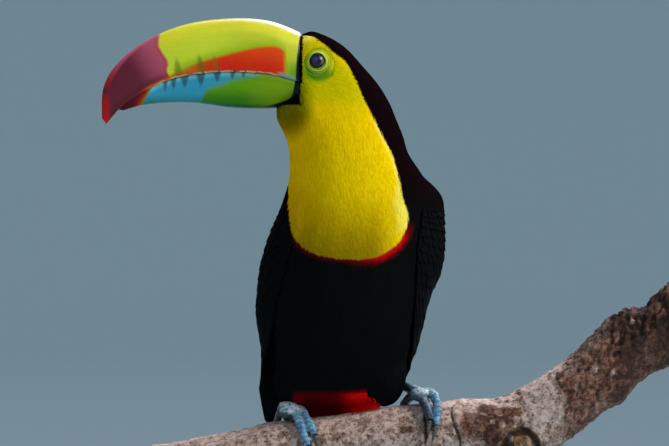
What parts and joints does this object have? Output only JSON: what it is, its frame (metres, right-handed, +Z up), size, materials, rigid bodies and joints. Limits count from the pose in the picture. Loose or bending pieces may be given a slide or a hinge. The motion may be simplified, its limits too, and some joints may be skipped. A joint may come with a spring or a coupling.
{
  "type": "keel-billed toucan, still life-size model on a perch and stand",
  "caption": "Upright perched toucan with a large curved bill turned to its right, on a bent cut branch held above a flat base by two rods; a still display model.",
  "frame": {"origin": "centre of the stand base's underside", "axes": "+Z up; the bird's chest faces -Y, its bill points to -X and the branch rises towards +X"},
  "size_m": [0.3909, 0.18, 0.46],
  "materials": {
    "black_feather": "satin black plumage with a maroon tinge on the nape",
    "yellow_feather": "soft yellow plumage, red at the lower edge of the bib",
    "bill_horn": "satin horn, yellow-green with an orange blaze and a maroon tip",
    "bill_lower_horn": "satin horn, green to cyan with a maroon tip",
    "eye_gloss": "polished dark eye",
    "foot_scales": "blue scaled skin",
    "claw_horn": "dark satin horn",
    "bark": "rough grey-brown bark",
    "stand_wood": "satin varnish",
    "stand_steel": "brushed"
  },
  "bodies": {
    "root": {"trunk": "black_feather", "neck": "yellow_feather", "head": "yellow_feather", "wing_left": "black_feather", "wing_right": "black_feather", "tail": "black_feather", "thigh_left": "black_feather", "thigh_right": "black_feather", "bill_upper": "bill_horn", "bill_lower": "bill_lower_horn", "eye_left": "eye_gloss", "eye_right": "eye_gloss", "foot_left": "foot_scales", "foot_right": "foot_scales", "claw_left_1": "claw_horn", "claw_left_2": "claw_horn", "claw_left_3": "claw_horn", "claw_left_4": "claw_horn", "claw_right_1": "claw_horn", "claw_right_2": "claw_horn", "claw_right_3": "claw_horn", "claw_right_4": "claw_horn", "perch": "bark", "stand_base": "stand_wood", "stand_rod_left": "stand_steel", "stand_rod_right": "stand_steel"}
  },
  "joints": []
}
